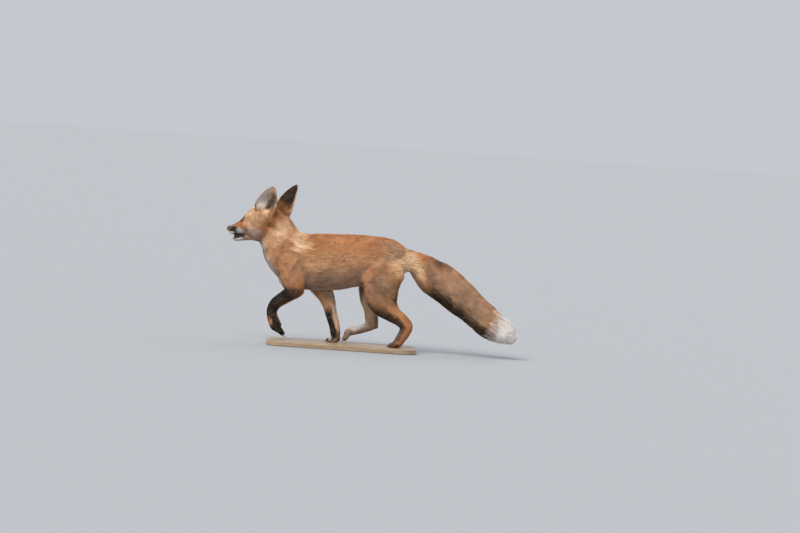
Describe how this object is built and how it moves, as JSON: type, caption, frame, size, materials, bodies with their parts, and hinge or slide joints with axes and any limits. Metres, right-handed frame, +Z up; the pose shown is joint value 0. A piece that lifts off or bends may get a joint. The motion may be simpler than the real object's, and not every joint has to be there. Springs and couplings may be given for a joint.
{
  "type": "red fox",
  "caption": "Still, life-size red fox, young and slender, trotting with one foreleg lifted and the head turned aside, on a flat wooden base.",
  "frame": {"origin": "middle of the whole model's box in X and Y, on the underside of the wooden base", "axes": "-X the way the fox faces, +X towards the end of the tail, +Y the fox's right side, +Z up"},
  "size_m": [0.9396, 0.1926, 0.5048],
  "materials": {
    "coat": "short soft fur, rusty orange, lying along the body",
    "pale_coat": "short soft fur, greyish cream",
    "dark_coat": "short close fur, brownish black",
    "bare_skin": "moist black skin and dark horn",
    "eye": "wet and glossy, dark amber",
    "base_wood": "plain waxed hardwood"
  },
  "bodies": {
    "root": {"head": "coat", "lower_jaw": "pale_coat", "nose": "bare_skin", "eye_left": "eye", "eye_right": "eye", "ear_left": "dark_coat", "ear_right": "dark_coat", "neck": "coat", "trunk": "coat", "tail": "coat", "foreleg_left": "dark_coat", "foreleg_right": "dark_coat", "hindleg_left": "coat", "hindleg_right": "coat", "stand_base": "base_wood"}
  },
  "joints": []
}
